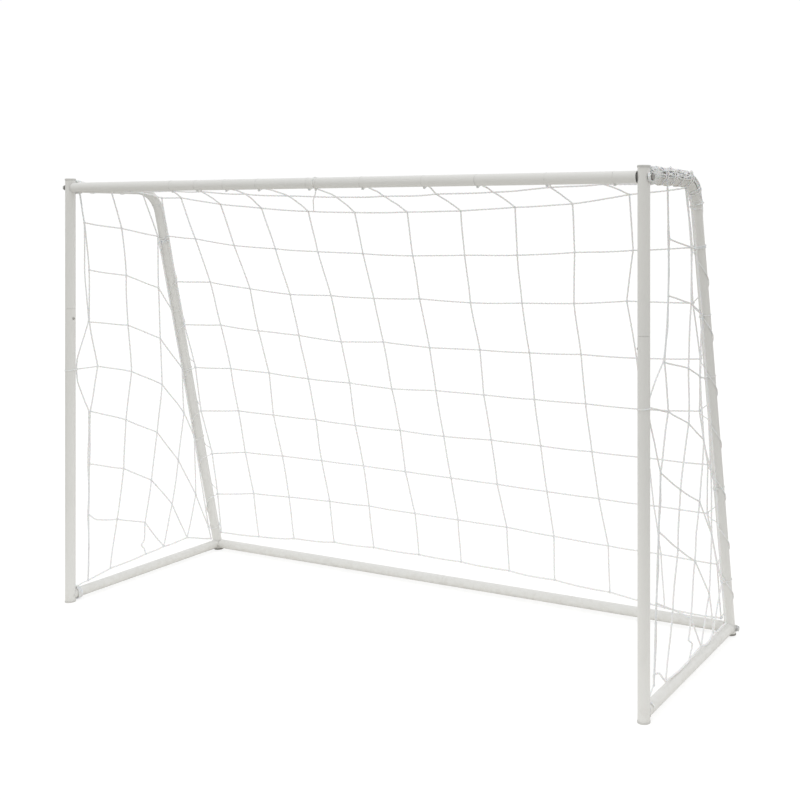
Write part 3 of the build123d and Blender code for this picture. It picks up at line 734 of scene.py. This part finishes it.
for side, sgn, nodes, col in (("left", -1, left_pts, grid[0]), ("right", 1, right_pts, grid[-1])):
    tie = Mesh()
    # lacing down the leg: one turn a mesh, pulled out to each edge knot of the back panel
    keys = []
    reach = [max(0.004, abs(sgn * POST_X - c[0]) - TUBE) for c in col]
    for k in range(1, len(col)):
        t = along_leg(float(col[k][2]))
        q = k - 1
        if q:
            keys.append((t - 0.020, q - 0.16, 0.0021))
        keys.append((t, q, reach[k]))
        if k < len(col) - 1:
            keys.append((t + 0.014, q + 0.15, 0.0021))
            keys.append((t + 0.050, q + 0.35, 0.0017))
            keys.append((t + 0.100, q + 0.62, 0.0017))
    tie.sweep(smooth(resample(wind(sgn, keys, n=60), 0.0015), 5), TIE * 1.15, pitch=0.011)
    for k in range(1, len(col)):
        tie.knot(col[k] + np.array([-sgn * -0.0015, 0, 0.001]), (0, 1, 0), 1.1)
    # two turns pulled tight just under the bend, a single thin one above them
    t = along_leg(1.036)
    tie.sweep(wind(sgn, [(t - 0.003, 0.1, 0.0016), (t + 0.0035, 2.35, 0.0016)], n=56), TIE * 1.2, pitch=0.011)
    t = along_leg(1.10) - 0.055
    tie.sweep(wind(sgn, [(t, 0.0, 0.0009), (t + 0.002, 1.05, 0.0009)], n=56), TIE * 0.6, strands=2, pitch=0.006)
    # short links from the side panel's edge knots to the leg
    for name in (("c1", "d2", "d3", "e4", "f5") if sgn < 0 else ("c1", "c2", "d3", "e4", "e5")):
        p = nodes[name]
        t = along_leg(float(p[2]) + 0.004)
        start = wind(sgn, [(t, 0.22, 0.0016), (t + 0.010, 1.30, 0.0016)], n=56)
        tie.sweep(strand([p] + start[3:-3].tolist() + [p + np.array([0, 0.001, -0.002])]), TIE * 0.9)
        tie.knot(p, (1, 0, 0), 1.05)
    # the top corner: the net is gathered over the arm and bound down
    def on(t, q, r):
        c, tan, nrm = rear_path(t)
        a = 2 * math.pi * q
        return np.array([sgn * POST_X, 0, 0]) + c + (math.cos(a) * np.array([-sgn, 0, 0]) - math.sin(a) * nrm) * (TUBE + r)

    if sgn > 0:
        top_of = lambda q: max(0.0, math.cos(2 * math.pi * (q % 1.0 - 0.68)))
        for j, (q0, r0, t0, t1) in enumerate([(0.525, 0.0024, 0.019, 0.330), (0.568, 0.0026, 0.018, 0.352), (0.611, 0.0024, 0.018, 0.372),
                                              (0.654, 0.0026, 0.018, 0.392), (0.697, 0.0024, 0.018, 0.405), (0.740, 0.0026, 0.018, 0.350),
                                              (0.783, 0.0024, 0.020, 0.330), (0.826, 0.0026, 0.022, 0.290), (0.560, 0.0058, 0.020, 0.300),
                                              (0.605, 0.0066, 0.018, 0.340), (0.655, 0.0064, 0.018, 0.352), (0.705, 0.0066, 0.017, 0.345),
                                              (0.755, 0.0060, 0.019, 0.300), (0.635, 0.0100, 0.022, 0.250), (0.690, 0.0102, 0.021, 0.262)]):
            line = []
            for t in np.linspace(t0, t1, 110):
                w = 0.014 * math.sin(t * (52 + 5 * j) + 2.1 * j) + 0.007 * math.sin(t * (121 - 5 * j) + j)
                end = min(1.0, (t1 - t) / 0.05)
                lift_ = 0.0005 * (1 + math.sin(t * (90 + 7 * j) + 1.3 * j))
                line.append(on(t, q0 + w, r0 * (0.35 + 0.65 * end) + lift_ * end))
            tie.sweep(smooth(np.array(line), 2), CORD * (0.95 if j % 2 else 0.88))
        # turns that bind the bundle, tighter underneath
        for t0, t1, q0, turns, over in ((0.030, 0.046, 0.10, 1.9, 0.0095), (0.078, 0.094, 0.35, 1.3, 0.0102), (0.128, 0.150, 0.05, 1.6, 0.0100),
                                        (0.188, 0.200, 0.20, 1.2, 0.0098), (0.238, 0.262, 0.15, 1.7, 0.0085), (0.300, 0.316, 0.25, 1.4, 0.0070),
                                        (0.345, 0.362, 0.15, 1.3, 0.0045)):
            tie.sweep(smooth(wind(sgn, [(t0, q0, 0.0016), (t1, q0 + turns, 0.0016)], lift=lambda q, o=over: o * top_of(q) ** 0.8, n=60), 2), TIE * 1.25,
                      pitch=0.011)
        for t, q in ((0.040, 0.66), (0.088, 0.60), (0.139, 0.70), (0.195, 0.58), (0.252, 0.64)):
            tie.knot(on(t, q, 0.0115), (1, 0, 0.5), 1.4)
        # corner loops of the net hooked over the bolt
        bolt_at = np.array([POST_X + TUBE, GOAL_Y, BAR_Z])
        for dx, r, q0 in ((0.0022, 0.0108, 40), (0.0052, 0.0104, 65)):
            hook = ring(bolt_at + np.array([dx, 0, 0]), (1, 0, 0), r, turns=0.86, start=math.radians(q0), pitch=0.002, up=(0, 0, 1), n=44)
            tie.sweep(strand([on(0.030, 0.60, 0.006), on(0.020, 0.58, 0.004)] + hook.tolist() + [on(0.020, 0.52, 0.004), on(0.034, 0.50, 0.003)]),
                      CORD * 0.9)
        for j in range(4):
            t = 0.0185 + j * 0.0055
            loop = wind(sgn, [(t, 0.12 * j, 0.0023), (t + 0.005, 0.12 * j + 0.5, 0.0023), (t - 0.001, 0.12 * j + 1.0, 0.0023)],
                        lift=lambda q, j=j: (0.006 + 0.003 * math.sin(2.3 * j)) * top_of(q))
            tie.sweep(smooth(loop, 2), CORD * 0.95)
    else:
        for j in range(4):
            t = 0.0182 + j * 0.0047
            puff = (0.0030, 0.0052, 0.0038, 0.0012)[j]
            loop = wind(sgn, [(t, 0.1 * j, 0.0023), (t + 0.004, 0.1 * j + 0.5, 0.0023), (t - 0.001, 0.1 * j + 1.0, 0.0023)],
                        lift=lambda q, puff=puff: puff * max(0.0, -math.sin(2 * math.pi * q)) ** 0.7)
            tie.sweep(smooth(loop, 2), CORD * 0.95)
        for q0 in (0.70, 0.78, 0.86):
            tie.sweep(np.array([on(t, q0 + 0.02 * math.sin(t * 300), 0.0023 + 0.004 * max(0, 1 - (t - 0.018) / 0.03)) for t in np.linspace(0.0165, 0.050, 24)]),
                      CORD * 0.9, taper=0.004)
        # the panel's edge cord is bound to the inner side of the arm
        for t in (0.075, 0.185):
            tie.sweep(wind(sgn, [(t, 0.0, 0.0016), (t + 0.002, 1.1, 0.0016)], lift=lambda q: 0.0042 * max(0.0, math.cos(2 * math.pi * (q % 1.0 - 0.06))) ** 3, n=60),
                      TIE * 0.7, pitch=0.008)
    tie.build(f"rear_lacing_{side}", TIE_MAT, "tie_cord", [f"ties_rear_{side}"])

    # the tie a little over halfway up each post
    lace = Mesh()
    knot_at = nodes["a4"]
    zt = 0.668 if sgn < 0 else 0.686
    post = np.array([sgn * POST_X, GOAL_Y, zt])
    wrap = ring(post, (0, 0, 1), WRAP + TIE, turns=1.0, start=math.radians(20), pitch=0.0060, up=(0, 1, 0), n=60)
    behind = post + np.array([0, TUBE + 0.0070, 0])
    lace.sweep(strand([knot_at, behind + np.array([0.002, 0, 0.001])] + wrap.tolist() + [behind + np.array([-0.002, 0.001, -0.001]),
                                                                                      knot_at + np.array([0, -0.004, -0.0015])]), TIE)
    lace.knot(behind, (0, 1, 0), 1.3)
    # the bottom corner: the hem's end is bound to the side bar, close behind the post
    bar = np.array([sgn * POST_X, GOAL_Y, GROUND_Z])
    hem = nodes["a8"]
    y0 = 0.0185 if sgn < 0 else 0.0195
    laps = ring(bar + np.array([0, y0 + 0.0055, 0]), (0, 1, 0), TUBE + CORD * 0.9, turns=2.6 if sgn < 0 else 0.20, start=0.0, pitch=0.0046, up=(0, 0, 1), n=50)
    lace.sweep(strand([hem, hem * 0.5 + (bar + np.array([0, y0 + 0.002, TUBE + 0.006])) * 0.5] + laps.tolist()), CORD * 0.85)
    lace.knot(bar + np.array([0, y0 + 0.001, TUBE + 0.0055]), (0, 0.3, 1), 1.5)
    if sgn < 0:
        tail = [bar + np.array([0.004, y0 - 0.001, TUBE + 0.005]), bar + np.array([0.0155, y0, 0.0090]), bar + np.array([0.0175, y0 - 0.001, -0.004]),
                bar + np.array([0.0160, y0 + 0.001, -0.0145])]
        lace.sweep(strand(tail), CORD * 0.8, taper=0.003)
    lace.build(f"post_ties_{side}", TIE_MAT, "tie_cord", [f"tie_post_{side}"])

# ---------------------------------------------------------------------------
# welds where arm and side bar meet the uprights
# ---------------------------------------------------------------------------


def bead(name, tube_centre, direction, upright_axis_point, upright_dir, gap_to, size=0.0016):
    """a ring of overlapping weld ripples that closes the joint between a coped tube end and its upright"""
    d = np.asarray(direction, float)
    d /= np.linalg.norm(d)
    c0 = np.asarray(tube_centre, float)
    ax = np.asarray(upright_dir, float)
    ax /= np.linalg.norm(ax)
    q = np.asarray(upright_axis_point, float)
    u = np.array([1.0, 0, 0])
    w = np.cross(d, u)
    n, m = 220, 9
    verts, faces = [], []
    for i in range(n):
        a = 2 * math.pi * i / n
        e = u * math.cos(a) + w * math.sin(a)
        p = c0 + e * TUBE
        # walk from the tube's surface towards the upright until it is met
        rel = p - q
        rel = rel - ax * float(rel @ ax)
        dd = -d - ax * float(-d @ ax)
        A, B, C = float(dd @ dd), 2 * float(rel @ dd), float(rel @ rel) - TUBE * TUBE
        disc = B * B - 4 * A * C
        t_hit = (-B - math.sqrt(disc)) / (2 * A) if disc > 0 else -B / (2 * A)
        near = p - d * t_hit
        far = c0 + e * TUBE + d * max(0.0, gap_to - float((c0 - q) @ d))
        far = p - d * (float((p - q) @ d) - gap_to) if gap_to > float((near - q) @ d) else near + d * 0.0006
        ripple = 1 + 0.16 * math.sin(i * 2 * math.pi / 5.5) + 0.10 * math.sin(i * 0.37 + 1.0)
        for k in range(m):
            s = k / (m - 1)
            start = near - d * 0.0004 + e * 0.0005
            end = far + d * 0.0012
            pos = start + (end - start) * s
            lift = math.sin(math.pi * s) ** 0.7 * size * ripple
            sink = -0.0006 if k in (0, m - 1) else 0.0
            verts.append(tuple(pos + e * (lift + sink)))
    for i in range(n):
        for k in range(m - 1):
            a, b = i * m + k, ((i + 1) % n) * m + k
            faces.append((a, a + 1, b + 1, b))
    inner = len(verts)
    for i in range(n):                      # a hidden inner skin keeps the bead a closed form
        a = 2 * math.pi * i / n
        e = u * math.cos(a) + w * math.sin(a)
        first, final = np.array(verts[i * m]), np.array(verts[i * m + m - 1])
        verts.append(tuple(first - e * 0.0009))
        verts.append(tuple(final - e * 0.0009))
    for i in range(n):
        j = (i + 1) % n
        a0, a1 = inner + 2 * i, inner + 2 * i + 1
        b0, b1 = inner + 2 * j, inner + 2 * j + 1
        faces.append((a1, a0, b0, b1))
        faces.append((a0, i * m, j * m, b0))
        faces.append((i * m + m - 1, a1, b1, j * m + m - 1))
    mesh = bpy.data.meshes.new(name)
    mesh.from_pydata(verts, [], faces)
    mesh.update()
    mesh.polygons.foreach_set("use_smooth", np.ones(len(mesh.polygons), bool))
    mesh.materials.append(WELD)
    o = bpy.data.objects.new(name, mesh)
    bpy.context.scene.collection.objects.link(o)
    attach(o, ROOT)
    return o


for side, sgn in (("left", -1), ("right", 1)):
    x = sgn * POST_X
    bead(f"weld_arm_{side}", (x, GOAL_Y + 0.03, BAR_Z), (0, 1, 0), (x, GOAL_Y, BAR_Z), (0, 0, 1), 0.0118)
    bead(f"weld_post_foot_{side}", (x, GOAL_Y + 0.03, GROUND_Z), (0, 1, 0), (x, GOAL_Y, GROUND_Z), (0, 0, 1), 0.0, 0.0013)
    bead(f"weld_leg_foot_{side}", (x, GROUND_Y - 0.03, GROUND_Z), (0, -1, 0), (x, GROUND_Y, GROUND_Z), tuple(LEG_UP), 0.0118, 0.0013)

# ---------------------------------------------------------------------------
# floor, light, camera
# ---------------------------------------------------------------------------
world = bpy.data.worlds.new("studio")
bpy.context.scene.world = world
world.use_nodes = True
wt = world.node_tree
wt.nodes.clear()
wout = wt.nodes.new("ShaderNodeOutputWorld")
seen = wt.nodes.new("ShaderNodeBackground")
seen.inputs["Color"].default_value = (1, 1, 1, 1)
seen.inputs["Strength"].default_value = 1.02
lit = wt.nodes.new("ShaderNodeBackground")
lit.inputs["Strength"].default_value = 1.0
wcoord = wt.nodes.new("ShaderNodeTexCoord")
wsep = wt.nodes.new("ShaderNodeSeparateXYZ")
wramp = wt.nodes.new("ShaderNodeValToRGB")
wramp.color_ramp.elements[0].position = 0.0
wramp.color_ramp.elements[0].color = (0.93, 0.925, 0.91, 1)
wramp.color_ramp.elements[1].position = 1.0
wramp.color_ramp.elements[1].color = (0.90, 0.905, 0.915, 1)
wt.links.new(wcoord.outputs["Generated"], wsep.inputs[0])
wt.links.new(wsep.outputs["Z"], wramp.inputs["Fac"])
wt.links.new(wramp.outputs["Color"], lit.inputs["Color"])
path = wt.nodes.new("ShaderNodeLightPath")
mixw = wt.nodes.new("ShaderNodeMixShader")
wt.links.new(path.outputs["Is Camera Ray"], mixw.inputs[0])
wt.links.new(lit.outputs[0], mixw.inputs[1])
wt.links.new(seen.outputs[0], mixw.inputs[2])
wt.links.new(mixw.outputs[0], wout.inputs[0])

floor_mesh = bpy.data.meshes.new("floor")
R = 60.0
floor_mesh.from_pydata([(-R, -R, 0), (R, -R, 0), (R, R, 0), (-R, R, 0)], [], [(0, 1, 2, 3)])
floor = bpy.data.objects.new("floor", floor_mesh)
bpy.context.scene.collection.objects.link(floor)
fm = bpy.data.materials.new("pale_floor")
fm.use_nodes = True
ft = fm.node_tree
ft.nodes.clear()
fout = ft.nodes.new("ShaderNodeOutputMaterial")
# for bounce light the floor's colour is a painted pool of light, pale close to the goal and darker further off; seen
# directly it is plain white with faint contact shadows
fc = ft.nodes.new("ShaderNodeTexCoord")
flen = ft.nodes.new("ShaderNodeVectorMath")
flen.operation = "LENGTH"
fr = ft.nodes.new("ShaderNodeMapRange")
fr.inputs["From Min"].default_value = 0.9
fr.inputs["From Max"].default_value = 2.4
fr.inputs["To Min"].default_value = 1.0
fr.inputs["To Max"].default_value = 0.0
# painted pool of light: floor colour 0.93 near the goal fading to 0.38 between 0.9 m and 2.4 m out, seen only by bounce
# rays
painted_light_pool = ft.nodes.new("ShaderNodeMix")
painted_light_pool.data_type = "RGBA"
painted_light_pool.inputs[6].default_value = (0.38, 0.37, 0.34, 1)
painted_light_pool.inputs[7].default_value = (0.93, 0.92, 0.89, 1)
ft.links.new(fc.outputs["Object"], flen.inputs[0])
ft.links.new(flen.outputs["Value"], fr.inputs["Value"])
ft.links.new(fr.outputs["Result"], painted_light_pool.inputs[0])
fd = ft.nodes.new("ShaderNodeBsdfDiffuse")
ft.links.new(painted_light_pool.outputs[2], fd.inputs["Color"])
fv = ft.nodes.new("ShaderNodeBsdfDiffuse")
fv.inputs["Color"].default_value = (0.34, 0.335, 0.32, 1)
fe = ft.nodes.new("ShaderNodeEmission")
fe.inputs["Color"].default_value = (0.985, 0.99, 1.0, 1)
fe.inputs["Strength"].default_value = 0.76
fa = ft.nodes.new("ShaderNodeAddShader")
fl = ft.nodes.new("ShaderNodeLightPath")
fx = ft.nodes.new("ShaderNodeMixShader")
ft.links.new(fv.outputs[0], fa.inputs[0])
ft.links.new(fe.outputs[0], fa.inputs[1])
ft.links.new(fl.outputs["Is Camera Ray"], fx.inputs[0])
ft.links.new(fd.outputs[0], fx.inputs[1])
ft.links.new(fa.outputs[0], fx.inputs[2])
ft.links.new(fx.outputs[0], fout.inputs[0])
floor_mesh.materials.append(fm)


def area(name, loc, target, size, power, color=(1, 1, 1)):
    l = bpy.data.lights.new(name, "AREA")
    l.shape = "RECTANGLE"
    l.size, l.size_y = size
    l.energy = power
    l.color = color
    o = bpy.data.objects.new(name, l)
    bpy.context.scene.collection.objects.link(o)
    o.location = loc
    o.rotation_euler = (Vector(target) - Vector(loc)).to_track_quat("-Z", "Y").to_euler()
    return o


area("overhead", (0.2, 0.1, 3.6), (0, 0, 0.4), (4.5, 4.5), 8)
area("key", (-2.6, -3.2, 2.8), (0, 0, 0.6), (2.5, 2.5), 3)

cam_data = bpy.data.cameras.new("camera")
cam = bpy.data.objects.new("camera", cam_data)
bpy.context.scene.collection.objects.link(cam)
CAM_AT = (1.86579, GOAL_Y - 2.30241, 1.09652)
cam.location = CAM_AT
cam.rotation_euler = (math.pi / 2, 0, 0.4576951)
cam_data.sensor_width = 36.0
cam_data.lens = 1138.93359 * 36.0 / 800
cam_data.clip_end = 200
# the lens shift belongs to this viewpoint only: when the camera is moved elsewhere it goes back to none
for prop, value in (("shift_x", -(576.5187 - 400) / 800), ("shift_y", (221.3877 - 400) / 800)):
    d = cam_data.driver_add(prop).driver
    d.type = "SCRIPTED"
    for axis in "XYZ":
        v = d.variables.new()
        v.name = axis.lower()
        v.type = "TRANSFORMS"
        v.targets[0].id = cam
        v.targets[0].transform_type = "LOC_" + axis
        v.targets[0].transform_space = "WORLD_SPACE"
    d.expression = (f"{value:.6f} if abs(x - {CAM_AT[0]:.5f}) + abs(y - {CAM_AT[1]:.5f}) + abs(z - {CAM_AT[2]:.5f}) < 0.01 "
                    "else 0.0")
bpy.context.scene.camera = cam
bpy.context.scene.view_settings.view_transform = "Standard"
bpy.context.scene.view_settings.look = "None"

bpy.context.view_layer.update()
